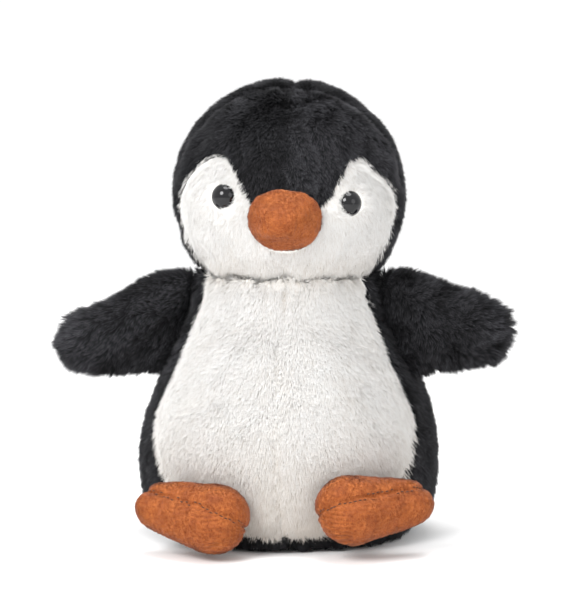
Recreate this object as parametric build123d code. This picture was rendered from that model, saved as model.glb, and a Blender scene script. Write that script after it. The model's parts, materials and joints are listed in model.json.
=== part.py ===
from build123d import *
import math
import os

# A seated plush penguin. Z is up, the penguin faces -Y, and the origin is the middle of
# the seat on the table. Left and right are the penguin's own: its left side is +X.
# The panels' outer faces lie about 2 mm inside the tips of the pile.

# ---- driving dimensions, millimetres and degrees ----

plush_wall = 2.2            # backing cloth and the dense foot of the long pile
velboa_wall = 1.2           # the short orange pile of the beak and feet
slack = 0.4                 # room left between pieces that move past each other

# The body is round about Z. Its side: distance from the axis, height.
body_side = [
    (50.0, 0),
    (59.0, 3.6),
    (65.5, 12.0),
    (69.3, 26.0),
    (69.9, 40.0),
    (67.5, 58.0),
    (62.0, 76.0),
    (54.0, 95.0),
    (46.7, 112.0),
    (40.5, 127.0),
]
base_top = 9                # the base panel wraps up to this height
belly_outline = [           # the left border of the white belly, x and height
    (34.0, 132),
    (42.0, 106),
    (51.0, 82),
    (60.0, 62),
    (60.0, 43),
    (50.0, 24),
    (30.0, 5),
]
pouch_radius = 60           # the pouch of pellets is a lens between two such balls
pouch_height = 13           # of its middle
pouch_half_wall = 8

# The head is a ball, turned and rolled about its middle.
head_radius = 54.4
head_middle = 163.6
head_yaw = 3.0              # the face looks a little towards the penguin's left
head_roll = 3.0             # and leans the same way
face_outlines = {           # the outer and upper border of the white face, |x| and height
    "left": [
        (38.0, 100.0),
        (43.0, 134.0),
        (50.6, 158.0),
        (47.6, 174.0),
        (38.0, 182.0),
        (32.5, 186.5),
        (27.0, 181.5),
        (23.3, 174.0),
        (19.2, 166.5),
        (13.0, 160.0),
    ],
    "right": [
        (38.0, 100.0),
        (43.0, 134.0),
        (50.6, 158.0),
        (46.8, 173.0),
        (41.2, 179.0),
        (35.5, 183.0),
        (29.5, 182.8),
        (25.2, 178.5),
        (21.1, 171.8),
        (17.1, 165.2),
        (12.0, 159.0),
    ],
}
face_peak = 157             # height of the peak of black between the eyes
crown_seam_top = (-16, 217)     # y and height of the ear-to-ear seam over the crown
crown_seam_low = (6, 128)       # and where it reaches the neck

# The beak is a stuffed cone that points a little down, wider than it is tall.
beak_root_ball = (-2, 15.9)     # distance along the beak, radius
beak_tip_ball = (12.5, 8.5)
beak_widening = 3.0         # each half stands this far out from the middle
beak_root = (0, -50, 155.8)
beak_pitch = 6
beak_seam_drop = 8          # its seam runs this far below its axis

# Safety eyes on shanks, each held by a washer behind its face panel.
eye_place = (29.6, 163.9)   # x and height on the face
eye_turn = 24               # each eye looks this far outwards
eye_radius = 6.0
eye_dome = 4.2
eye_shank_radius = 2.0
eye_shank_length = 12.0
washer_radius = 6.5
washer_wall = 1.4
washer_depth = 4.2          # behind the eye's flat back
washer_bore_gap = 0.05

# The head flexes about a point a little above the neck seam.
neck_pivot = 150
neck_socket_radius = 49.3
neck_wad_radii = (45.2, 48.8)
neck_wad_spread = 40        # the wad's half angle about straight down
neck_thread_radius = 0.7
neck_thread_reach = 48.5    # from the pivot to the thread
neck_thread_angle = 34.5    # below level, seen from the pivot

# The wings are padded paddles that point along X before they are placed.
wing_root_disc = (5, 25.5)      # distance out from the root seam, half height
wing_tip_disc = {"left": (40.0, 15.5), "right": (44.5, 14.5)}
wing_thickness = 17
wing_edge_radius = 8.2
wing_root_radius = 27.5     # the root and the wing part along this arc
wing_root_place = (51.4, -7, 103)
wing_root_lean = 23         # the root seam leans with the body's side
wing_forward = 15
wing_droop = {"left": 3, "right": 11}
wing_swing_range = (-30, 45)
wing_lift_range = (-15, 15)

# The feet are fat ovals with a blunt point at the outer end.
foot_heel_ball = (-11.5, 15.8)      # distance along the foot, radius
foot_toe_ball = (17.2, 10.0)
foot_place = {"left": (43.5, -71.0, 26.4), "right": (-37.2, -74.0, 22.4)}
foot_splay = 22             # the outer ends turn back beside the body
foot_roll = {"left": 4, "right": 7}     # and rise a little
foot_seam_tilt = 25         # the sole panel faces forwards and down
foot_seam_rise = 7          # and the seam rises towards the outer end
foot_seam_front = (-14, 7)  # y and height where the seam crosses the front
foot_hinge = (-59, 20)      # y and height of the line where a foot bends
foot_flex_range = (-8, 25)

far = 500                   # well beyond any part of the penguin
SIDES = ("left", "right")


# ---- shared shape functions ----

def left_prism(outline, inner_bottom):
    """All that lies in front of the left half of an outline drawn in the XZ plane."""
    top = outline[0]
    closing = Polyline(outline[-1], (0, inner_bottom), (0, top[1]), top)
    face = Plane.XZ * make_face(Spline(outline) + closing)
    return extrude(face, amount=far, dir=(0, -1, 0))


def half_space(direction):
    """The half of the room on one side of the origin, such as (1, 0, 0) for +X."""
    middle = tuple(part * far / 2 for part in direction)
    size = tuple(far if part else 2 * far for part in direction)
    return Pos(*middle) * Box(*size)


def tapered_outline(large_disc, small_disc, wall):
    """The outline around two discs on X, drawn in by a wall. A disc is (distance, radius)."""
    discs = [
        CenterArc((middle, 0), radius - wall, 0, 360)
        for middle, radius in (large_disc, small_disc)
    ]
    return make_hull(discs)


def tapered_form(large_ball, small_ball, wall):
    """The round form about X around two balls, drawn in by a wall for its lining."""
    upper_half = Pos(0, far / 2) * Rectangle(2 * far, far)
    return revolve(tapered_outline(large_ball, small_ball, wall) & upper_half, Axis.X)


def on_side(shape, side):
    """Pieces are modelled on the left and mirrored to the right."""
    return shape if side == "left" else mirror(shape, about=Plane.YZ)


# ---- whole forms, each drawn in by a wall for its lining ----

def moved_inwards(side, wall):
    """The same side line with each point moved towards the axis, square to the line."""
    moved = []
    for i, point in enumerate(side):
        before = side[max(i - 1, 0)]
        after = side[min(i + 1, len(side) - 1)]
        run = after[0] - before[0]
        rise = after[1] - before[1]
        length = math.hypot(run, rise)
        moved.append((point[0] - wall * rise / length, point[1] + wall * run / length))
    return moved


def body_profile(wall):
    """Half of the body's upright section: distance from the axis, height."""
    side = moved_inwards(body_side, wall)
    seat_edge = side[0]
    neck = side[-1]
    corners = Polyline(neck, (0, neck[1]), (0, seat_edge[1]), seat_edge)
    return make_face(Spline(side) + corners)


def beak_form(wall):
    """Two halves of a round form, a little apart, and the same side view between them."""
    outline = tapered_outline(beak_root_ball, beak_tip_ball, wall)
    left_half = revolve(outline & Pos(0, far / 2) * Rectangle(2 * far, far), Axis.X, 180)
    left_half = Pos(0, 0, beak_widening) * left_half
    middle = extrude(outline, amount=beak_widening, both=True)
    form = middle + left_half + mirror(left_half, about=Plane.XY)
    return Rot(90, 0, 0) * form


def wing_form(side, wall):
    outline = tapered_outline(wing_root_disc, wing_tip_disc[side], wall)
    pad = extrude(outline, amount=wing_thickness / 2 - wall, both=True)
    pad = fillet(pad.edges().filter_by(Plane.XY), wing_edge_radius - wall)
    return Rot(90, 0, 0) * pad


# ---- body ----

def spun(section, arc=360):
    """Turn an upright section about Z, from -Y towards +X."""
    return Rot(0, 0, -90) * revolve(Plane.XZ * section, Axis.Z, arc)


def body_parts():
    socket = Pos(0, neck_pivot) * Circle(neck_socket_radius)
    seat_strip = Pos(0, base_top - far / 2) * Rectangle(2 * far, far)
    pouch = pouch_profile()
    inner = body_profile(plush_wall) - socket
    skin = body_profile(0) - inner - socket
    left_wall = spun(skin - seat_strip, 180)
    belly_room = left_prism(belly_outline, belly_outline[-1][1])
    panels = {
        "belly_panel_": left_wall & belly_room,
        "back_panel_": left_wall - belly_room,
    }
    parts = {
        "base_panel": spun(skin & seat_strip),
        "body_stuffing": spun(inner - pouch),
        "seat_pellets": spun(pouch),
        "neck_seam_thread": neck_seam_thread(),
        "neck_stuffing": neck_stuffing(),
    }
    for side in SIDES:
        for name, panel in panels.items():
            parts[name + side] = on_side(panel, side)
    return parts


def pouch_profile():
    """Half of a lens, where two large discs cross."""
    lift = pouch_radius - pouch_half_wall
    lens = Pos(0, pouch_height + lift) * Circle(pouch_radius)
    lens = lens & Pos(0, pouch_height - lift) * Circle(pouch_radius)
    return lens & Pos(far / 2, 0) * Rectangle(far, 2 * far)


def neck_seam_thread():
    angle = math.radians(neck_thread_angle)
    ring = Torus(neck_thread_reach * math.cos(angle), neck_thread_radius)
    return Pos(0, 0, neck_pivot - neck_thread_reach * math.sin(angle)) * ring


def neck_stuffing():
    inner_radius, outer_radius = neck_wad_radii
    depth = far / 2
    cone_radius = depth * math.tan(math.radians(neck_wad_spread))
    spread = Pos(0, 0, -depth / 2) * Cone(cone_radius, 0, depth)
    wad = (Sphere(outer_radius) - Sphere(inner_radius)) & spread
    return Pos(0, 0, neck_pivot) * wad


# ---- head ----

def eye():
    """A domed eye and its shank, looking along -Y from the origin."""
    dome_radius = (eye_radius**2 + eye_dome**2) / (2 * eye_dome)
    half_angle = math.asin(eye_radius / dome_radius) / 2
    dome_middle = (
        eye_dome - dome_radius + dome_radius * math.cos(half_angle),
        dome_radius * math.sin(half_angle),
    )
    tip = (eye_dome, 0)
    rim = (0, eye_radius)
    stem = Polyline(
        tip,
        (-eye_shank_length, 0),
        (-eye_shank_length, eye_shank_radius),
        (0, eye_shank_radius),
        rim,
    )
    half = make_face(stem + ThreePointArc(rim, dome_middle, tip))
    return Rot(0, 0, -90) * revolve(half, Axis.X)


def eye_washer():
    ring = Cylinder(washer_radius, washer_wall)
    ring = ring - Cylinder(eye_shank_radius + washer_bore_gap, far)
    return Pos(0, washer_depth + washer_wall / 2, 0) * Rot(90, 0, 0) * ring


def behind_crown_seam():
    """The room behind the ear-to-ear seam, which leans forward towards the crown."""
    run = crown_seam_low[0] - crown_seam_top[0]
    rise = crown_seam_top[1] - crown_seam_low[1]
    lean = math.degrees(math.atan2(run, rise))
    place = Pos(0, crown_seam_top[0], crown_seam_top[1]) * Rot(lean, 0, 0)
    return place * half_space((0, 1, 0))


def head_parts():
    middle = Pos(0, 0, head_middle)
    inner = middle * Sphere(head_radius - plush_wall)
    skin = middle * Sphere(head_radius) - inner
    x, height = eye_place
    eye_y = -math.sqrt(head_radius**2 - x**2)
    eye_location = Pos(x, eye_y, height) * Rot(0, 0, eye_turn)
    left_eye = eye_location * eye()
    left_washer = eye_location * eye_washer()

    behind_seam = behind_crown_seam()
    left_skin = skin & half_space((1, 0, 0))
    front_skin = left_skin - behind_seam
    stuffing = inner
    parts = {}
    for side in SIDES:
        face_room = left_prism(face_outlines[side], face_peak)
        panels = {
            "face_panel_": (front_skin & face_room) - left_eye,
            "crown_panel_": front_skin - face_room,
            "head_back_panel_": left_skin & behind_seam,
            "eye_": left_eye,
            "eye_washer_": left_washer,
        }
        stuffing = stuffing - on_side(left_eye, side) - on_side(left_washer, side)
        for name, panel in panels.items():
            parts[name + side] = on_side(panel, side)
    parts["head_stuffing"] = stuffing
    parts.update(beak_parts())
    turn = middle * Rot(0, 0, head_yaw) * Rot(0, head_roll, 0) * Pos(0, 0, -head_middle)
    return {name: turn * part for name, part in parts.items()}


def beak_parts():
    inner = beak_form(velboa_wall)
    skin = beak_form(0) - inner
    below_seam = Pos(0, 0, -beak_seam_drop) * half_space((0, 0, -1))
    place = Pos(*beak_root) * Rot(beak_pitch, 0, 0) * Rot(0, 0, -90)
    head_ball = Pos(0, 0, head_middle) * Sphere(head_radius)
    return {
        "beak_upper_panel": place * (skin - below_seam) - head_ball,
        "beak_lower_panel": place * (skin & below_seam) - head_ball,
        "beak_stuffing": place * inner - head_ball,
    }


def clear_of_body(piece, hinge, turn_range):
    """Leave room for the body at rest and at both ends of the piece's turn."""
    body_room = spun(body_profile(-slack))
    for angle in (0, *turn_range):
        piece = piece - body_room.rotate(hinge, -angle)
    return piece


# ---- wings ----

def wing_parts(side):
    place = Pos(*wing_root_place) * Rot(0, 0, -wing_forward) * Rot(0, wing_droop[side], 0)
    pad = wing_form(side, 0)
    core = wing_form(side, plush_wall)
    arc = Rot(90, 0, 0) * Cylinder(wing_root_radius, far)
    arc_room = Rot(90, 0, 0) * Cylinder(wing_root_radius + slack, far)
    skin = pad - core - arc_room
    front_room = half_space((0, -1, 0))
    pieces = {
        "front_panel": clear_of_side(place * (skin & front_room), wing_lift_range),
        "back_panel": clear_of_side(place * (skin - front_room), wing_lift_range),
        "stuffing": clear_of_side(place * (core - arc_room), wing_lift_range),
        "root": clear_of_side(place * (pad & arc), ()),
    }
    return {
        "wing_" + side + "_" + name: on_side(piece, side) for name, piece in pieces.items()
    }


def clear_of_side(piece, lift_range):
    """Leave room for the body's side wherever the wing swings and lifts."""
    lean = math.radians(wing_root_lean)
    forward = math.radians(wing_forward)
    swing = Axis(wing_root_place, (math.sin(lean), 0, -math.cos(lean)))
    lift = Axis(wing_root_place, (-math.sin(forward), -math.cos(forward), 0))
    body_side_room = half_space((-1, 0, 0))
    body_side_room = Pos(*wing_root_place) * Rot(0, -wing_root_lean, 0) * body_side_room
    for swing_angle in (0, *wing_swing_range):
        swung = body_side_room.rotate(swing, -swing_angle)
        for lift_angle in (0, *lift_range):
            piece = piece - swung.rotate(lift, -lift_angle)
    return piece


# ---- feet ----

def foot_parts(side):
    pad = tapered_form(foot_heel_ball, foot_toe_ball, 0)
    core = tapered_form(foot_heel_ball, foot_toe_ball, velboa_wall)
    x, y, height = foot_place[side]
    place = Pos(abs(x), y, height) * Rot(0, 0, foot_splay) * Rot(0, -foot_roll[side], 0)
    seam_y, seam_height = foot_seam_front
    seam_turn = Rot(0, -foot_seam_rise, 0) * Rot(-foot_seam_tilt, 0, 0)
    below_seam = Pos(0, seam_y, seam_height) * seam_turn * half_space((0, 0, -1))
    skin = pad - core
    hinge = Axis((0, foot_hinge[0], foot_hinge[1]), (-1, 0, 0))
    pieces = {
        "top_panel": skin - below_seam,
        "sole_panel": skin & below_seam,
        "stuffing": core,
    }
    parts = {}
    for name, piece in pieces.items():
        piece = clear_of_body(place * piece, hinge, foot_flex_range)
        parts["foot_" + side + "_" + name] = on_side(piece, side)
    return parts


# ---- write one file for each piece ----

penguin = body_parts()
penguin.update(head_parts())
for side in SIDES:
    penguin.update(wing_parts(side))
    penguin.update(foot_parts(side))

os.makedirs("parts", exist_ok=True)
for name, part in penguin.items():
    export_step(part, "parts/" + name + ".step")
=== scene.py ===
import json
import math

import bmesh
import bpy
import numpy as np
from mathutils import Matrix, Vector
from mathutils.bvhtree import BVHTree
from mathutils.kdtree import KDTree


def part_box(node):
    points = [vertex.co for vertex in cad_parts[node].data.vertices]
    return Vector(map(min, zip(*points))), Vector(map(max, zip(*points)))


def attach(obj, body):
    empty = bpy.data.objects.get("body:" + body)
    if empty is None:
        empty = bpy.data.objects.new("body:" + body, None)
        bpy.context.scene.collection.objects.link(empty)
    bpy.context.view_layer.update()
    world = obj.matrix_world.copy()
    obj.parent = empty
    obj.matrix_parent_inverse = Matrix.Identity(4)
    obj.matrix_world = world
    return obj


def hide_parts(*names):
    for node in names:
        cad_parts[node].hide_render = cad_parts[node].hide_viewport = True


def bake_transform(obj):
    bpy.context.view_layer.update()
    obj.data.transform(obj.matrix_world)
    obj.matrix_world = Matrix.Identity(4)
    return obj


# The looks of a plush penguin. Its skins are grown from the CAD panels, stuffed as cloth under
# pressure that is held along the seams, and covered with a pile of fine closed tufts.

MM = 0.001
SIDES = ("left", "right")

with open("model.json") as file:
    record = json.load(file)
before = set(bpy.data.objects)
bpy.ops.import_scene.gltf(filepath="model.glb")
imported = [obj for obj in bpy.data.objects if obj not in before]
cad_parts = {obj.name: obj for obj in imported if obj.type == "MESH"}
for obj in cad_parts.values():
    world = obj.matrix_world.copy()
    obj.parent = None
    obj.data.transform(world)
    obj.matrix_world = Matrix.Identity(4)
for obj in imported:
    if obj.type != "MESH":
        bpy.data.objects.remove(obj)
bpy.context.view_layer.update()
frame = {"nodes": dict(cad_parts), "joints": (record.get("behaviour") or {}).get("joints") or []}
scene = bpy.context.scene


# ---- what each skin is made of ----

BODY_PANELS = [part + side for part in ("belly_panel_", "back_panel_") for side in SIDES]
BODY_PANELS.append("base_panel")
HEAD_PARTS = ("face_panel_", "crown_panel_", "head_back_panel_")
HEAD_PANELS = [part + side for part in HEAD_PARTS for side in SIDES]
BEAK_PANELS = ["beak_upper_panel", "beak_lower_panel"]
WHITE_PANELS = ("belly_panel", "face_panel")


# ---- values used throughout ----

PILE_UV = "OFBake"          # the map that carries each tuft's tone and height
CLOTH_FRAMES = 18
CLOTH_EASE = -0.04          # the cloth is cut this much larger than the form, so that it puckers
PUCKER_LENGTH = 9 * MM      # stitches pull unevenly at about this spacing
LAY_LENGTH = 11 * MM        # and the lay of the pile strays over this distance
ROOT_DEPTH = 0.3 * MM       # tufts start this far under the backing cloth
FLOOR_GAP = 0.3 * MM        # and end at least this far above the table
SEAT_BARE = 2.5 * MM        # no pile grows below this height, where the seat is pressed flat

# Painted sheen: by how its brushed nap catches the light, one crown panel's pile is drawn lighter
# and the other's darker.
PANEL_NAP_SHEEN = {"crown_panel_left": 0.62, "crown_panel_right": -0.12}
COLLAR_DEPTH = 16 * MM
COLLAR_RISE = 7.5 * MM
COLLAR_GAP = 3.2 * MM       # from the head's stuffing
EYE_CLEAR = 5.2 * MM
EYE_OUTWARDS = 1.7 * MM     # the pile on the inner side covers the eye's edge a little
RIPPLE_SPACING = 2.0 * MM
WING_LENGTH = 55 * MM       # from the hinge to where the pile is longest
WING_EMBEDDED = 15 * MM     # how far the wing's skin reaches in under the body's
FLOOR_HALF = 4.0
PER_MM2 = 1e6


# ---- small mesh tools ----

def new_object(name, vertices, faces):
    mesh = bpy.data.meshes.new(name)
    mesh.from_pydata(vertices, [], faces)
    obj = bpy.data.objects.new(name, mesh)
    scene.collection.objects.link(obj)
    return obj


def triangle_object(name, points, triangles):
    """An object of many triangles, made from arrays."""
    mesh = bpy.data.meshes.new(name)
    mesh.vertices.add(len(points))
    mesh.vertices.foreach_set("co", points.astype(np.float32).ravel())
    mesh.loops.add(triangles.size)
    mesh.loops.foreach_set("vertex_index", triangles.astype(np.int32).ravel())
    mesh.polygons.add(len(triangles))
    mesh.polygons.foreach_set("loop_start", np.arange(0, triangles.size, 3, dtype=np.int32))
    mesh.update(calc_edges=True)
    obj = bpy.data.objects.new(name, mesh)
    scene.collection.objects.link(obj)
    return obj


def points_of(obj):
    flat = np.zeros(len(obj.data.vertices) * 3, np.float32)
    obj.data.vertices.foreach_get("co", flat)
    return flat.reshape(-1, 3).astype(float)


def set_points(obj, points):
    obj.data.vertices.foreach_set("co", points.astype(np.float32).ravel())
    obj.data.update()


def normals_of(obj):
    flat = np.zeros(len(obj.data.vertices) * 3, np.float32)
    obj.data.vertex_normals.foreach_get("vector", flat)
    return flat.reshape(-1, 3).astype(float)


def edges_of(obj):
    flat = np.zeros(len(obj.data.edges) * 2, np.int32)
    obj.data.edges.foreach_get("vertices", flat)
    return flat.reshape(-1, 2)


def unit(vectors):
    lengths = np.linalg.norm(vectors, axis=-1, keepdims=True)
    return vectors / np.maximum(lengths, 1e-12)


def bake_modifiers(obj):
    depsgraph = bpy.context.evaluated_depsgraph_get()
    mesh = bpy.data.meshes.new_from_object(obj.evaluated_get(depsgraph))
    obj.modifiers.clear()
    obj.data = mesh


def node_soup(nodes):
    """The vertices and faces of several CAD nodes together, and which node owns each face."""
    vertices = []
    faces = []
    owners = []
    for name in nodes:
        mesh = frame["nodes"][name].data
        start = len(vertices)
        vertices.extend(tuple(v.co) for v in mesh.vertices)
        faces.extend([i + start for i in p.vertices] for p in mesh.polygons)
        owners.extend([name] * len(mesh.polygons))
    return vertices, faces, owners


def relax(obj, rounds):
    """Smooth a mesh by moving each point towards the middle of its neighbours."""
    points = points_of(obj)
    edges = edges_of(obj)
    ends = np.concatenate([edges, edges[:, ::-1]])
    neighbours = np.bincount(ends[:, 0], minlength=len(points))[:, None]
    for _ in range(rounds):
        middles = np.stack(
            [np.bincount(ends[:, 0], points[ends[:, 1], k], len(points)) for k in range(3)],
            axis=1,
        )
        points += 0.5 * (middles / neighbours - points)
    set_points(obj, points)


def waves(points, length, seed):
    """Smooth noise, mostly from -1 to 1, with about this wavelength: crossing sine waves."""
    count = 9
    rng = np.random.default_rng(seed)
    total = np.zeros(len(points))
    for _ in range(count):
        direction = unit(rng.normal(size=3))
        stretch = rng.uniform(0.7, 1.4) * 2 * math.pi / length
        total += np.sin(points @ direction * stretch + rng.uniform(0, 2 * math.pi))
    return total / math.sqrt(count)


# ---- skins ----

def remeshed(name, vertices, faces, voxel, rounds):
    obj = new_object(name, vertices, faces)
    modifier = obj.modifiers.new("voxels", "REMESH")
    modifier.mode = "VOXEL"
    modifier.voxel_size = voxel
    bake_modifiers(obj)
    relax(obj, rounds)
    return obj


class Skin:
    """A closed skin, with the CAD panel under each spot and the seams between the panels."""

    def __init__(self, name, nodes, panels, voxel, rounds=4, extra=((), ())):
        vertices, faces, _ = node_soup(nodes)
        start = len(vertices)
        vertices.extend(extra[0])
        faces.extend([i + start for i in face] for face in extra[1])
        self.obj = remeshed(name, vertices, faces, voxel, rounds)
        self.voxel = voxel
        vertices, faces, self.owners = node_soup(panels)
        self.panel_tree = BVHTree.FromPolygons(vertices, faces)
        self.find_seams()

    def panel_at(self, point):
        return self.owners[self.panel_tree.find_nearest(Vector(point))[2]]

    def find_seams(self):
        """Seams run where neighbouring faces lie over different panels."""
        sides = {}
        for face in self.obj.data.polygons:
            panel = self.panel_at(face.center)
            for key in face.edge_keys:
                sides.setdefault(key, set()).add(panel)
        points = points_of(self.obj)
        spots = [points[list(key)].mean(axis=0) for key, found in sides.items() if len(found) > 1]
        self.seam_spots = np.array(spots)
        self.seam_tree = KDTree(len(spots))
        for i, spot in enumerate(spots):
            self.seam_tree.insert(spot, i)
        self.seam_tree.balance()

    def seam_distance(self, points):
        return np.array([self.seam_tree.find(point)[2] for point in points])

    def move(self, amounts):
        """Move each point along its normal."""
        set_points(self.obj, points_of(self.obj) + normals_of(self.obj) * amounts[:, None])

    def sew(self, depth, width):
        """Pull the skin in along its seams, a little unevenly as stitches do."""
        points = points_of(self.obj)
        near = np.exp(-(self.seam_distance(points) / width) ** 2)
        uneven = 1 + 0.35 * waves(points, PUCKER_LENGTH, seed=5)
        self.move(-depth * near * uneven)

    def stuff(self, pressure, most, hold):
        """Cloth under pressure, held along the seams. No point moves further than most."""
        obj = self.obj
        before = points_of(obj)
        held = np.flatnonzero((self.seam_distance(before) < hold) | (before[:, 2] < 1.0 * MM))
        group = obj.vertex_groups.new(name="held")
        group.add([int(i) for i in held], 1.0, "REPLACE")
        cloth = obj.modifiers.new("cloth", "CLOTH")
        cloth.settings.quality = 4
        cloth.settings.mass = 0.3
        cloth.settings.vertex_group_mass = group.name
        cloth.settings.use_pressure = True
        cloth.settings.uniform_pressure_force = pressure
        cloth.settings.shrink_min = CLOTH_EASE
        cloth.settings.effector_weights.gravity = 0
        cloth.collision_settings.use_collision = False
        cloth.point_cache.frame_start = 1
        cloth.point_cache.frame_end = CLOTH_FRAMES
        for number in range(1, CLOTH_FRAMES + 1):
            scene.frame_set(number)
        bake_modifiers(obj)
        scene.frame_set(1)
        obj.vertex_groups.clear()
        moves = points_of(obj) - before
        lengths = np.linalg.norm(moves, axis=1, keepdims=True)
        set_points(obj, before + moves * np.minimum(1, most / np.maximum(lengths, 1e-9)))
        relax(obj, 2)

    def colour_faces(self, materials, chooser):
        for material in materials:
            self.obj.data.materials.append(material)
        self.obj.data.shade_smooth()
        for face in self.obj.data.polygons:
            face.material_index = chooser(self.panel_at(face.center))


# ---- materials ----

def new_material(name, roughness, sheen=0.0, specular=0.5):
    material = bpy.data.materials.new(name)
    material.use_nodes = True
    shader = material.node_tree.nodes["Principled BSDF"]
    shader.inputs["Roughness"].default_value = roughness
    shader.inputs["Sheen Weight"].default_value = sheen
    shader.inputs["Sheen Roughness"].default_value = 0.4
    shader.inputs["Specular IOR Level"].default_value = specular
    return material, material.node_tree, shader


def ramp(tree, stops, factor):
    node = tree.nodes.new("ShaderNodeValToRGB")
    elements = node.color_ramp.elements
    while len(elements) < len(stops):
        elements.new(0.5)
    for element, (position, colour) in zip(elements, stops):
        element.position = position
        element.color = (*colour, 1)
    tree.links.new(factor, node.inputs["Fac"])
    return node.outputs["Color"]


def noise(tree, scale, detail=4.0):
    place = tree.nodes.new("ShaderNodeTexCoord")
    node = tree.nodes.new("ShaderNodeTexNoise")
    node.inputs["Scale"].default_value = scale
    node.inputs["Detail"].default_value = detail
    tree.links.new(place.outputs["Object"], node.inputs["Vector"])
    return node.outputs["Fac"]


def add_bump(tree, shader, height, strength, distance):
    bump = tree.nodes.new("ShaderNodeBump")
    bump.inputs["Strength"].default_value = strength
    bump.inputs["Distance"].default_value = distance
    tree.links.new(height, bump.inputs["Height"])
    tree.links.new(bump.outputs["Normal"], shader.inputs["Normal"])


def pile_material(name, dull, bright, sheen, roughness=0.75):
    """Pile coloured from root to tip. Each tuft has its own tone between dull and bright."""
    material, tree, shader = new_material(name, roughness, sheen, specular=0.2)
    shader.inputs["Sheen Roughness"].default_value = 0.45
    spread = tree.nodes.new("ShaderNodeUVMap")
    spread.uv_map = PILE_UV
    split = tree.nodes.new("ShaderNodeSeparateXYZ")
    mix = tree.nodes.new("ShaderNodeMix")
    mix.data_type = "RGBA"
    tree.links.new(spread.outputs["UV"], split.inputs["Vector"])
    tree.links.new(split.outputs["X"], mix.inputs["Factor"])
    tree.links.new(ramp(tree, dull, split.outputs["Y"]), mix.inputs["A"])
    tree.links.new(ramp(tree, bright, split.outputs["Y"]), mix.inputs["B"])
    tree.links.new(mix.outputs["Result"], shader.inputs["Base Color"])
    return material


def backing_material(name, dark, light, scale):
    """Cloth with an uneven nap: mottled colour, uneven roughness and a fine grain."""
    material, tree, shader = new_material(name, 0.8, sheen=0.2)
    mottle = noise(tree, scale)
    grain = noise(tree, scale * 12, 2.0)
    tree.links.new(ramp(tree, [(0.3, dark), (0.7, light)], mottle), shader.inputs["Base Color"])
    rough = ramp(tree, [(0.3, (0.7,) * 3), (0.7, (0.95,) * 3)], grain)
    tree.links.new(rough, shader.inputs["Roughness"])
    add_bump(tree, shader, grain, 0.4, 0.4 * MM)
    return material


def plastic_material(name, dark, light, roughness, specular):
    material, tree, shader = new_material(name, roughness, specular=specular)
    mottle = noise(tree, 60.0)
    tree.links.new(ramp(tree, [(0.35, dark), (0.65, light)], mottle), shader.inputs["Base Color"])
    add_bump(tree, shader, noise(tree, 300.0), 0.02, 0.02 * MM)
    return material


# The black pile grows lighter towards its tips: the grey tips are a painted highlight, where the
# fuzz catches the light.
black_pile = pile_material(
    "black_pile",
    dull=[
        (0.0, (0.002, 0.002, 0.003)),
        (0.6, (0.005, 0.005, 0.006)),
        (1.0, (0.012, 0.012, 0.014)),
    ],
    bright=[
        (0.0, (0.004, 0.004, 0.005)),
        (0.6, (0.020, 0.020, 0.023)),
        (1.0, (0.098, 0.097, 0.108)),
    ],
    sheen=0.05,
)
white_pile = pile_material(
    "white_pile",
    dull=[
        (0.0, (0.50, 0.43, 0.35)),
        (0.6, (0.66, 0.60, 0.53)),
        (1.0, (0.74, 0.69, 0.63)),
    ],
    bright=[
        (0.0, (0.80, 0.78, 0.75)),
        (0.5, (0.90, 0.895, 0.88)),
        (1.0, (0.93, 0.93, 0.92)),
    ],
    sheen=0.1,
)
orange_pile = pile_material(
    "orange_pile",
    dull=[
        (0.0, (0.12, 0.018, 0.003)),
        (0.6, (0.20, 0.036, 0.005)),
        (1.0, (0.28, 0.058, 0.009)),
    ],
    bright=[
        (0.0, (0.24, 0.050, 0.009)),
        (0.6, (0.44, 0.112, 0.022)),
        (1.0, (0.66, 0.230, 0.062)),
    ],
    sheen=0.12,
    roughness=0.6,
)
black_backing = backing_material(
    "black_backing", (0.003, 0.003, 0.004), (0.008, 0.008, 0.010), 180.0
)
white_backing = backing_material(
    "white_backing", (0.76, 0.74, 0.70), (0.86, 0.85, 0.82), 180.0
)
orange_backing = backing_material(
    "orange_backing", (0.24, 0.056, 0.010), (0.44, 0.125, 0.024), 160.0
)
fibre_fill = backing_material(
    "fibre_fill", (0.60, 0.60, 0.58), (0.82, 0.82, 0.80), 90.0
)
brown_thread = backing_material(
    "brown_thread", (0.030, 0.012, 0.006), (0.080, 0.030, 0.012), 900.0
)
eye_plastic = plastic_material(
    "eye_plastic", (0.003, 0.003, 0.004), (0.006, 0.006, 0.007), 0.10, 0.4
)
washer_plastic = plastic_material(
    "washer_plastic", (0.60, 0.60, 0.57), (0.72, 0.72, 0.69), 0.45, 0.5
)


# ---- pile ----

def sample_roots(skin, density, seed, wanted):
    """Random spots on and close to a skin's wanted panels, with the skin's normal at each."""
    mesh = skin.obj.data
    mesh.calc_loop_triangles()
    flat = np.zeros(len(mesh.loop_triangles) * 3, np.int32)
    mesh.loop_triangles.foreach_get("vertices", flat)
    corners = flat.reshape(-1, 3)
    points = points_of(skin.obj)
    normals = normals_of(skin.obj)
    a, b, c = (points[corners[:, k]] for k in range(3))
    areas = np.linalg.norm(np.cross(b - a, c - a), axis=1) / 2
    near_seam = skin.seam_distance(points)[corners[:, 0]] < 2 * skin.voxel
    areas *= near_seam | np.array([wanted(skin.panel_at(spot)) for spot in (a + b + c) / 3])
    rng = np.random.default_rng(seed)
    count = int(areas.sum() * density)
    chosen = rng.choice(len(areas), size=count, p=areas / areas.sum())
    first = np.sqrt(rng.random(count))
    second = rng.random(count)
    shares = np.stack([1 - first, first * (1 - second), first * second], axis=1)
    roots = np.einsum("ij,ijk->ik", shares, points[corners[chosen]])
    root_normals = unit(np.einsum("ij,ijk->ik", shares, normals[corners[chosen]]))
    return roots, root_normals, rng


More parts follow.
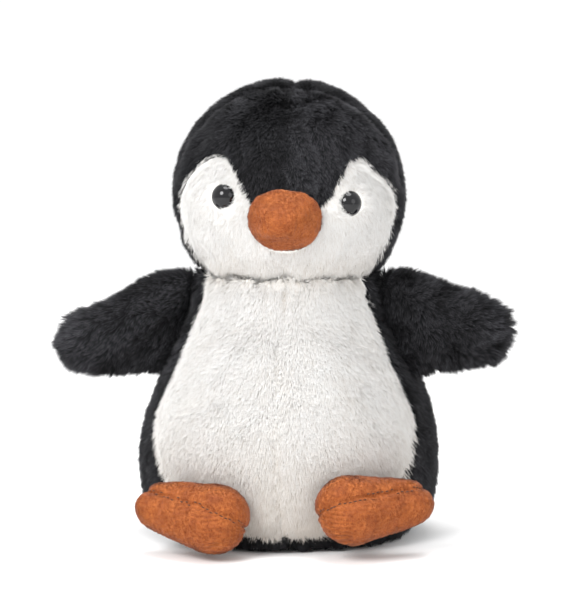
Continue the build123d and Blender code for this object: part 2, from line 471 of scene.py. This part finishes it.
def clumped(roots, tips, rng, tufts_per_clump, pull):
    """Draw the tips of neighbouring tufts together."""
    leaders = rng.choice(len(roots), size=max(1, len(roots) // tufts_per_clump), replace=False)
    tree = KDTree(len(leaders))
    for i, leader in enumerate(leaders):
        tree.insert(roots[leader], i)
    tree.balance()
    nearest = leaders[[tree.find(root)[1] for root in roots]]
    shares = pull * rng.uniform(0.4, 1.0, len(roots))[:, None]
    return tips + shares * (tips[nearest] - tips)


def tuft_object(name, roots, tips, normals, widths, tones, glint):
    """One closed, four-sided tuft for each root, with its tone and height as its map."""
    along = unit(tips - roots)
    across = unit(np.cross(normals, along))
    up = np.cross(along, across)
    half = widths[:, None] / 2
    corners = np.stack(
        [roots - across * half, roots + across * half, roots + up * half, tips], axis=1
    )
    starts = 4 * np.arange(len(roots))[:, None, None]
    triangles = starts + np.array([[0, 1, 2], [1, 0, 3], [2, 1, 3], [0, 2, 3]])
    triangles = triangles.reshape(-1, 3)[:, ::-1]
    obj = triangle_object(name, corners.reshape(-1, 3), triangles)
    mesh = obj.data
    tone_spread = np.array([-0.012, 0.012, 0.0, 0.0])
    u = np.clip(tones, 0.02, 0.98)[:, None] + tone_spread
    v = np.broadcast_to([0.02, 0.02, 0.02, 0.98], u.shape)
    uv = np.stack([u.ravel(), v.ravel()], axis=1)[triangles.ravel()]
    mesh.uv_layers.new(name=PILE_UV).data.foreach_set("uv", uv.astype(np.float32).ravel())
    mesh.shade_smooth()
    outward = np.repeat(normals, 4, axis=0)
    facing = normals_of(obj)
    mesh.normals_split_custom_set_from_vertices(unit(outward + glint * facing))
    return obj


class Pile:
    """How one kind of pile grows: tufts per square metre, metres, degrees and shares.

    wander is how far the lay strays, clump how many tufts lean together and pull how far,
    glint how far each tuft's shading departs from the skin's, and fleck how much its tone does.
    """

    def __init__(
        self, density, length, width, lift, wander, clump, pull, glint, fleck, material, seed
    ):
        self.density = density
        self.length = length
        self.width = width
        self.lift = math.radians(lift)
        self.wander = wander
        self.clump = clump
        self.pull = pull
        self.glint = glint
        self.fleck = fleck
        self.material = material
        self.seed = seed


def grow(skin, pile, comb, keep, wanted, length_at, tone_at):
    """Cover a skin's wanted panels with pile: one object of tufts for each panel, by name."""
    roots, normals, rng = sample_roots(skin, pile.density, pile.seed, wanted)
    panels = np.array([skin.panel_at(root) for root in roots])
    kept = keep(roots, normals) & np.array([wanted(panel) for panel in panels])
    roots = roots[kept]
    normals = normals[kept]
    panels = panels[kept]
    seam_gaps = skin.seam_distance(roots)
    stray = np.stack([waves(roots, LAY_LENGTH, pile.seed + k) for k in range(3)], axis=1)
    lay = comb(roots, normals) + pile.wander * stray + 0.22 * rng.normal(size=roots.shape)
    lay = unit(lay - normals * np.sum(lay * normals, axis=1, keepdims=True))
    lift = pile.lift * rng.uniform(0.7, 1.3, len(roots))[:, None]
    lengths = pile.length * rng.uniform(0.75, 1.15, len(roots)) * length_at(roots, seam_gaps)
    tips = roots + lengths[:, None] * (np.cos(lift) * lay + np.sin(lift) * normals)
    tips = clumped(roots, tips, rng, pile.clump, pile.pull)
    tips[:, 2] = np.maximum(tips[:, 2], FLOOR_GAP)
    widths = pile.width * rng.uniform(0.7, 1.3, len(roots))
    tones = tone_at(roots, seam_gaps, panels) + pile.fleck * rng.normal(size=len(roots))
    roots = roots - normals * ROOT_DEPTH
    made = {}
    for panel in sorted(set(panels)):
        here = panels == panel
        made[panel] = tuft_object(
            panel.replace("panel", "pile"),
            roots[here],
            tips[here],
            normals[here],
            widths[here],
            tones[here],
            pile.glint,
        )
        made[panel].data.materials.append(pile.material)
    return made


def everywhere(roots, normals):
    return np.ones(len(roots), bool)


# ---- body ----

def comb_down(roots, normals):
    """The nap runs down, a little outwards, and a little to the front or to the back."""
    lay = np.zeros_like(roots)
    lay[:, 0] = 0.25 * np.sign(roots[:, 0]) * np.abs(normals[:, 0])
    lay[:, 1] = np.where(normals[:, 1] < 0.3, -0.25, 0.25)
    lay[:, 2] = -1
    return lay


def seam_trim(low, reach):
    """Pile is shorter beside a seam: from the share low up to full length at reach."""
    def length_at(roots, seam_gaps):
        return low + (1 - low) * np.clip(seam_gaps / reach, 0, 1)
    return length_at


def is_white(panel):
    return panel.startswith(WHITE_PANELS)


def is_black(panel):
    return not is_white(panel)


def plush_chooser(panel):
    return 1 if is_white(panel) else 0


def plush_tone_and_shade(roots, seam_gaps, panels):
    """Uneven patches, with painted sheen on the crown and painted shade along the seams, under
    the chin and low on the body.
    """
    white = np.array([is_white(panel) for panel in panels])
    patches = 0.14 * waves(roots, 26 * MM, 31) + 0.10 * waves(roots, 7 * MM, 32)
    # Painted sheen: the crown panel whose nap catches the light is drawn lighter, the other
    # darker.
    nap = np.array([PANEL_NAP_SHEEN.get(panel, 0.0) for panel in panels])
    # Painted shade in the seam creases; on the white, only at the middle seam.
    seams = np.exp(-(seam_gaps / (0.9 * MM)) ** 2)
    centre = seams * (np.abs(roots[:, 0]) < 8 * MM)
    # Painted shade: darker low on the body and under the chin, where less light reaches.
    low = np.exp(-(roots[:, 2] / (42 * MM)) ** 2)
    chin = np.exp(-((roots[:, 2] - 131 * MM) / (9 * MM)) ** 2)
    tone_on_white = 0.80 + 0.25 * patches - 0.8 * centre - 0.8 * low - 0.3 * chin
    tone_on_black = 0.38 + patches + nap - 0.25 * seams - 0.30 * low
    return np.where(white, tone_on_white, tone_on_black)


def cover_with_plush(skin, body, comb, black, white, keep, trims):
    """Grow black or white pile over each panel of a skin, one piece for each panel."""
    kinds = ((black, is_black, "black_plush"), (white, is_white, "white_plush"))
    for (pile, wanted, slot), trim in zip(kinds, trims):
        tufts = grow(skin, pile, comb, keep, wanted, trim, plush_tone_and_shade)
        for obj in tufts.values():
            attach(obj, body)


def raise_collar(skin):
    """The neck opening stands up close around the underside of the head."""
    head_low, head_high = (np.array(corner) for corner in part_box("head_stuffing"))
    head_radius = (head_high[0] - head_low[0]) / 2
    head_middle = np.array([0, 0, head_high[2] - head_radius])
    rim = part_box("belly_panel_left")[1].z
    points = points_of(skin.obj)
    gaps = np.hypot(points[:, 0], points[:, 1])
    by_height = np.clip((points[:, 2] - rim + COLLAR_DEPTH) / COLLAR_DEPTH, 0, 1)
    by_gap = np.clip((gaps - 30 * MM) / (8 * MM), 0, 1)
    points[:, 2] += COLLAR_RISE * by_height * by_gap
    offsets = points - head_middle
    distances = np.linalg.norm(offsets, axis=1, keepdims=True)
    clear = head_radius + COLLAR_GAP
    pushed = head_middle + offsets * np.maximum(1, clear / distances)
    set_points(skin.obj, np.where((by_gap * by_height)[:, None] > 0, pushed, points))
    relax(skin.obj, 1)


def build_body():
    skin = Skin("body_skin", BODY_PANELS + ["body_stuffing"], BODY_PANELS, 2.6 * MM)
    raise_collar(skin)
    skin.move(np.full(len(skin.obj.data.vertices), -1.0 * MM))
    skin.sew(1.0 * MM, 3.0 * MM)
    skin.stuff(pressure=3.0, most=1.0 * MM, hold=2.0 * MM)
    points = points_of(skin.obj)
    points[:, 2] = np.maximum(points[:, 2], 1.0 * MM)
    set_points(skin.obj, points)
    skin.colour_faces([black_backing, white_backing], plush_chooser)
    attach(skin.obj, "body")
    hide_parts(*BODY_PANELS, "body_stuffing", "seat_pellets", "neck_seam_thread")
    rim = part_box("belly_panel_left")[1].z

    def keep(roots, normals):
        inwards = np.sum(unit(roots[:, :2]) * normals[:, :2], axis=1) < -0.3
        in_socket = inwards & (roots[:, 2] > 80 * MM)
        under_seat = roots[:, 2] < SEAT_BARE
        return ~(in_socket | under_seat)

    def comb(roots, normals):
        lay = comb_down(roots, normals)
        collar = np.clip((roots[:, 2] - rim) / (4 * MM), 0, 1)
        lay[:, 2] += 1.6 * collar
        return lay

    trims = (seam_trim(0.9, 4 * MM), seam_trim(0.45, 3 * MM))
    cover_with_plush(skin, "body", comb, BLACK_BODY, WHITE_BODY, keep, trims)


# ---- head ----

def build_head():
    eyes = [np.array(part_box("eye_" + side)).mean(axis=0) for side in SIDES]
    eyes = [eye + (EYE_OUTWARDS * np.sign(eye[0]), 0, 0) for eye in eyes]
    beak_low, beak_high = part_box("beak_stuffing")
    beak_middle = np.array([(beak_low.x + beak_high.x) / 2, (beak_low.z + beak_high.z) / 2])
    beak_radius = (beak_high.x - beak_low.x) / 2
    skin = Skin("head_skin", HEAD_PANELS + ["head_stuffing"], HEAD_PANELS, 2.4 * MM)
    skin.move(np.full(len(skin.obj.data.vertices), -0.9 * MM))
    heights = points_of(skin.obj)[:, 2]
    over_crown = np.clip((heights - 190 * MM) / (16 * MM), 0.5, 1)
    skin.sew(2.2 * MM * over_crown, 3.6 * MM)
    skin.stuff(pressure=3.0, most=1.6 * MM, hold=2.0 * MM)
    skin.colour_faces([black_backing, white_backing], plush_chooser)
    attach(skin.obj, "head")
    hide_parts(*HEAD_PANELS, "head_stuffing")
    neck_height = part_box("belly_panel_left")[1].z

    def eye_offsets(roots):
        """From the nearer eye's middle to each root, across the face only."""
        across = np.stack([roots - eye for eye in eyes])
        across[:, :, 1] = 0
        nearer = np.argmin(np.linalg.norm(across, axis=2), axis=0)
        return across[nearer, np.arange(len(roots))]

    def keep(roots, normals):
        eye_gap = np.linalg.norm(eye_offsets(roots), axis=1)
        in_eye = (eye_gap < EYE_CLEAR) & (roots[:, 1] < 0)
        beak_gap = np.linalg.norm(roots[:, [0, 2]] - beak_middle, axis=1)
        in_beak = (beak_gap < beak_radius - 1.5 * MM) & (roots[:, 1] < 0)
        under = roots[:, 2] < neck_height - 6 * MM
        return ~(in_eye | in_beak | under)

    def comb(roots, normals):
        lay = comb_down(roots, normals)
        offsets = eye_offsets(roots)
        gaps = np.linalg.norm(offsets, axis=1, keepdims=True)
        near = np.exp(-((gaps - EYE_CLEAR) / (4 * MM)) ** 2) * (roots[:, 1:2] < 0)
        around = np.where(by_inner_edge(roots), -2.2, 1.8)[:, None]
        return lay + around * near * offsets / np.maximum(gaps, 1e-6)

    def by_inner_edge(roots):
        return eye_offsets(roots)[:, 0] * np.sign(roots[:, 0]) < -2.5 * MM

    def face_trim(roots, seam_gaps):
        eye_gap = np.linalg.norm(eye_offsets(roots), axis=1)
        by_eye = np.where(roots[:, 1] < 0, np.clip(eye_gap / (11 * MM), 0.4, 1), 1)
        by_eye = np.where(by_inner_edge(roots), 0.9, by_eye)
        return seam_trim(0.4, 3 * MM)(roots, seam_gaps) * by_eye

    trims = (seam_trim(0.4, 4 * MM), face_trim)
    cover_with_plush(skin, "head", comb, BLACK_HEAD, WHITE_HEAD, keep, trims)


# ---- beak and feet ----

def comb_along(direction):
    def comb(roots, normals):
        return np.broadcast_to(np.array(direction, float), roots.shape).copy()
    return comb


def ripples(spots):
    """Rows across a sole, bent by noise, from -1 to 1. They fade in and out."""
    bend = 2.2 * waves(spots, 24 * MM, 51)
    fade = np.clip(0.7 + 0.4 * waves(spots, 22 * MM, 52), 0, 1)
    fade *= np.clip(1 - (np.abs(spots[:, 0]) - 36 * MM) / (16 * MM), 0.2, 1)
    return np.sin(2 * math.pi * spots[:, 2] / RIPPLE_SPACING + bend) * fade


def velboa_tone(roots, seam_gaps, panels):
    return 0.42 + 0.20 * waves(roots, 13 * MM, 41) + 0.24 * waves(roots, 2.6 * MM, 42)


def sole_tone_and_shade(roots, seam_gaps, panels):
    on_sole = np.array(["sole" in panel for panel in panels])
    # Painted shade: the tone rises and falls with the sole's ripples, as light falls on their
    # ridges.
    ripple_shade_rows = 0.5 * ripples(roots) * on_sole
    # Painted shade in the seam crease.
    seams = 0.6 * np.exp(-(seam_gaps / (0.9 * MM)) ** 2)
    return velboa_tone(roots, seam_gaps, panels) + ripple_shade_rows - seams


def build_velboa(name, body, nodes, panels, direction, rounds, ripple_height, crease, swell):
    """A stuffed velboa piece: puckered seams, brushed ripples and a very short pile."""
    skin = Skin(name + "_skin", nodes, panels, 1.3 * MM, rounds)
    outside = np.sign(points_of(skin.obj)[:, 0].mean())
    downwards = unit(np.array([0.85 * outside, -0.25, -1.0]))
    full = np.clip(skin.seam_distance(points_of(skin.obj)) / (7 * MM), 0, 1)
    skin.move(swell * full * np.clip(normals_of(skin.obj) @ downwards, 0, 1) - 0.7 * MM)
    skin.sew(crease, 1.6 * MM)
    skin.stuff(pressure=6.0, most=1.2 * MM, hold=0.9 * MM)
    skin.obj.modifiers.new("finer", "SUBSURF").levels = 1
    bake_modifiers(skin.obj)
    points = points_of(skin.obj)
    on_sole = np.array(["sole" in skin.panel_at(point) for point in points])
    skin.move(ripple_height * ripples(points) * on_sole + 0.10 * MM * waves(points, 3 * MM, 53))
    skin.colour_faces([orange_backing], lambda panel: 0)
    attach(skin.obj, body)
    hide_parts(*nodes)
    tufts = grow(
        skin,
        VELBOA,
        comb_along(direction),
        everywhere,
        wanted=lambda panel: True,
        length_at=seam_trim(0.7 if crease else 1.0, 1.5 * MM),
        tone_at=sole_tone_and_shade if ripple_height else velboa_tone,
    )
    for obj in tufts.values():
        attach(obj, body)
    return skin


def stitch_row(name, body, skin, spacing, length, thickness):
    """Short stitches along a skin's closed seam, bedded in its crease."""
    spots = skin.seam_spots
    middle = spots.mean(axis=0)
    axes = np.linalg.svd(spots - middle)[2]
    flat = (spots - middle) @ axes[:2].T
    order = np.argsort(np.arctan2(flat[:, 1], flat[:, 0]))
    loop = spots[order]
    for _ in range(40):
        loop = (np.roll(loop, 1, axis=0) + loop + np.roll(loop, -1, axis=0)) / 3
    faces = [tuple(face.vertices) for face in skin.obj.data.polygons]
    tree = BVHTree.FromPolygons([tuple(point) for point in points_of(skin.obj)], faces)
    steps = np.linalg.norm(np.roll(loop, -1, axis=0) - loop, axis=1)
    along = np.concatenate([[0], np.cumsum(steps)])
    closed = np.concatenate([loop, loop[:1]])
    centres = np.arange(0, along[-1] - spacing / 2, spacing)
    made = bmesh.new()
    for centre in centres:
        ends = [
            Vector([np.interp(s % along[-1], along, closed[:, k]) for k in range(3)])
            for s in (centre - length / 2, centre + length / 2)
        ]
        spot, normal, _, _ = tree.find_nearest((ends[0] + ends[1]) / 2)
        direction = (ends[1] - ends[0]).normalized()
        turn = direction.to_track_quat("Z", "Y").to_matrix().to_4x4()
        stitch = bmesh.ops.create_uvsphere(made, u_segments=8, v_segments=6, radius=1.0)
        bmesh.ops.scale(made, vec=(thickness, thickness, length / 2), verts=stitch["verts"])
        bmesh.ops.transform(made, matrix=turn, verts=stitch["verts"])
        bmesh.ops.translate(made, vec=spot + normal * thickness * 0.5, verts=stitch["verts"])
    mesh = bpy.data.meshes.new(name)
    made.to_mesh(mesh)
    made.free()
    mesh.shade_smooth()
    mesh.materials.append(brown_thread)
    obj = bpy.data.objects.new(name, mesh)
    scene.collection.objects.link(obj)
    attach(obj, body)
    return obj


# ---- wings ----

def build_wing(side):
    """A wing and its gathered root, in one skin."""
    prefix = "wing_" + side + "_"
    joint = next(j for j in frame["joints"] if j["name"] == prefix + "lift")
    hinge = np.array(joint["pos_m"])
    tip_low, tip_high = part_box(prefix + "stuffing")
    tip = (np.array(tip_low) + np.array(tip_high)) / 2
    outwards = unit(tip - hinge)
    root_vertices = points_of(frame["nodes"][prefix + "root"])
    outer = root_vertices[(root_vertices - hinge) @ outwards > 8 * MM]
    hull_points = np.concatenate([outer, outer - outwards * WING_EMBEDDED])
    hull = bmesh.new()
    for point in hull_points:
        hull.verts.new(point)
    bmesh.ops.convex_hull(hull, input=hull.verts)
    hull.verts.index_update()
    extra = (
        [tuple(v.co) for v in hull.verts],
        [[v.index for v in face.verts] for face in hull.faces],
    )
    hull.free()
    panels = [prefix + "front_panel", prefix + "back_panel"]
    nodes = panels + [prefix + "stuffing", prefix + "root"]
    skin = Skin(prefix + "skin", nodes, panels, 2.0 * MM, rounds=4, extra=extra)
    gaps = np.abs((points_of(skin.obj) - hinge) @ outwards)
    skin.move(-1.0 * MM - 1.2 * MM * np.clip(1 - gaps / (22 * MM), 0, 1))
    skin.sew(0.8 * MM, 2.4 * MM)
    skin.stuff(pressure=4.0, most=1.2 * MM, hold=1.6 * MM)
    skin.colour_faces([black_backing], lambda panel: 0)
    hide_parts(*nodes)

    def comb(roots, normals):
        lay = np.broadcast_to(outwards, roots.shape).copy()
        lay[:, 2] -= 0.45
        return lay

    def keep(roots, normals):
        return (roots - hinge) @ outwards > -11 * MM

    def wing_length(roots, seam_gaps):
        reach = np.clip((roots - hinge) @ outwards / WING_LENGTH, 0, 1)
        return seam_trim(0.7, 3 * MM)(roots, seam_gaps) * (1 + 0.45 * reach**2)

    tufts = grow(
        skin,
        BLACK_WING[side],
        comb,
        keep,
        wanted=lambda panel: True,
        length_at=wing_length,
        tone_at=lambda roots, seam_gaps, panels: wing_tone_and_highlight(roots, hinge, outwards),
    )
    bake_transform(skin.obj)
    for obj in tufts.values():
        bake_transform(obj)


def wing_tone_and_highlight(roots, hinge, outwards):
    """Greyer towards the tip, where the ruffled pile catches the light: a painted highlight."""
    reach = (roots - hinge) @ outwards / WING_LENGTH
    patches = 0.26 + 0.18 * waves(roots, 18 * MM, 61) + 0.10 * waves(roots, 6 * MM, 62)
    # Painted highlight towards the tip.
    return patches + 0.45 * np.clip(reach, 0, 1) ** 2


# ---- neck, eyes and thread ----

def build_neck():
    vertices, faces, _ = node_soup(["neck_stuffing"])
    wad = remeshed("neck_wad", vertices, faces, 1.2 * MM, 3)
    points = points_of(wad)
    moves = 0.2 * MM * waves(points, 4 * MM, 71) - 0.3 * MM
    set_points(wad, points + normals_of(wad) * moves[:, None])
    wad.data.shade_smooth()
    wad.data.materials.append(fibre_fill)
    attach(wad, "neck")
    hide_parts("neck_stuffing")


def finish_cad_nodes():
    """The hard pieces keep their CAD shapes and get real materials."""
    materials = {
        **{"eye_" + side: eye_plastic for side in SIDES},
        **{"eye_washer_" + side: washer_plastic for side in SIDES},
    }
    for node, material in materials.items():
        slots = frame["nodes"][node].material_slots
        for slot in slots:
            slot.link = "OBJECT"
            slot.material = material


# ---- the studio ----

def area_light(name, place, target, size, power):
    data = bpy.data.lights.new(name, "AREA")
    data.shape = "DISK"
    data.size = size
    data.energy = power
    light = bpy.data.objects.new(name, data)
    light.location = place
    light.rotation_euler = (Vector(target) - Vector(place)).to_track_quat("-Z", "Y").to_euler()
    scene.collection.objects.link(light)


def build_studio():
    signs = ((-1, -1), (1, -1), (1, 1), (-1, 1))
    corners = [(x * FLOOR_HALF, y * FLOOR_HALF, 0) for x, y in signs]
    floor = new_object("floor", corners, [(0, 1, 2, 3)])
    material, _, shader = new_material("floor_white", 0.9)
    shader.inputs["Base Color"].default_value = (0.96, 0.96, 0.96, 1)
    floor.data.materials.append(material)
    world = bpy.data.worlds.new("studio")
    world.use_nodes = True
    background = world.node_tree.nodes["Background"]
    background.inputs["Color"].default_value = (1, 1, 1, 1)
    background.inputs["Strength"].default_value = 1.05
    scene.world = world
    middle = (0, 0, 0.11)
    area_light("key", (-0.55, -1.0, 0.85), middle, 0.62, 14)
    area_light("fill", (1.1, -0.9, 0.6), middle, 0.9, 3)
    area_light("top", (0.1, -0.1, 1.5), middle, 0.8, 10)


def build_camera():
    """Level with the crown, a little to the penguin's left, through a long lens."""
    azimuth = math.radians(4.5)
    right = Vector((math.cos(azimuth), math.sin(azimuth), 0))
    place = Vector((math.sin(azimuth), -math.cos(azimuth), 0)) * 1200 * MM
    place.z = 215 * MM
    target = right * -3.6 * MM + Vector((0, 0, 113.4 * MM))
    data = bpy.data.cameras.new("camera")
    data.lens = 148.6
    camera = bpy.data.objects.new("camera", data)
    camera.location = place
    camera.rotation_euler = (target - place).to_track_quat("-Z", "Y").to_euler()
    scene.collection.objects.link(camera)
    scene.camera = camera


BLACK_BODY = Pile(
    density=3.2 * PER_MM2,
    length=6.0 * MM,
    width=0.72 * MM,
    lift=36,
    wander=0.55,
    clump=16,
    pull=0.55,
    glint=0.45,
    fleck=0.30,
    material=black_pile,
    seed=101,
)
WHITE_BODY = Pile(
    density=6.4 * PER_MM2,
    length=4.8 * MM,
    width=0.46 * MM,
    lift=32,
    wander=0.11,
    clump=9,
    pull=0.18,
    glint=0.12,
    fleck=0.15,
    material=white_pile,
    seed=102,
)
BLACK_HEAD = Pile(
    density=4.7 * PER_MM2,
    length=5.0 * MM,
    width=0.55 * MM,
    lift=36,
    wander=0.45,
    clump=13,
    pull=0.45,
    glint=0.45,
    fleck=0.32,
    material=black_pile,
    seed=103,
)
WHITE_HEAD = Pile(
    density=7.0 * PER_MM2,
    length=4.4 * MM,
    width=0.44 * MM,
    lift=32,
    wander=0.18,
    clump=9,
    pull=0.20,
    glint=0.12,
    fleck=0.15,
    material=white_pile,
    seed=104,
)
BLACK_WING = {
    "left": Pile(
        density=5.0 * PER_MM2,
        length=6.2 * MM,
        width=0.58 * MM,
        lift=44,
        wander=0.60,
        clump=20,
        pull=0.60,
        glint=0.45,
        fleck=0.30,
        material=black_pile,
        seed=105,
    ),
    "right": Pile(
        density=5.0 * PER_MM2,
        length=5.8 * MM,
        width=0.58 * MM,
        lift=38,
        wander=0.45,
        clump=18,
        pull=0.55,
        glint=0.42,
        fleck=0.30,
        material=black_pile,
        seed=106,
    ),
}
VELBOA = Pile(
    density=8.5 * PER_MM2,
    length=1.1 * MM,
    width=0.32 * MM,
    lift=24,
    wander=0.55,
    clump=8,
    pull=0.30,
    glint=0.30,
    fleck=0.26,
    material=orange_pile,
    seed=107,
)

build_body()
build_head()
build_velboa(
    "beak",
    "head",
    BEAK_PANELS + ["beak_stuffing"],
    BEAK_PANELS,
    direction=(0, -0.4, -1),
    rounds=12,
    ripple_height=0.0,
    crease=0.0,
    swell=0.0,
)
for side in SIDES:
    foot = "foot_" + side
    foot_panels = [foot + "_top_panel", foot + "_sole_panel"]
    foot_skin = build_velboa(
        foot,
        foot,
        foot_panels + [foot + "_stuffing"],
        foot_panels,
        direction=(0, -0.5, -1),
        rounds=5,
        ripple_height=0.22 * MM,
        crease=1.3 * MM,
        swell=5.0 * MM,
    )
    stitch_row(foot + "_stitches", foot, foot_skin, 2.6 * MM, 1.7 * MM, 0.28 * MM)
    build_wing(side)
build_neck()
finish_cad_nodes()
build_studio()
build_camera()

scene.view_settings.view_transform = "Standard"
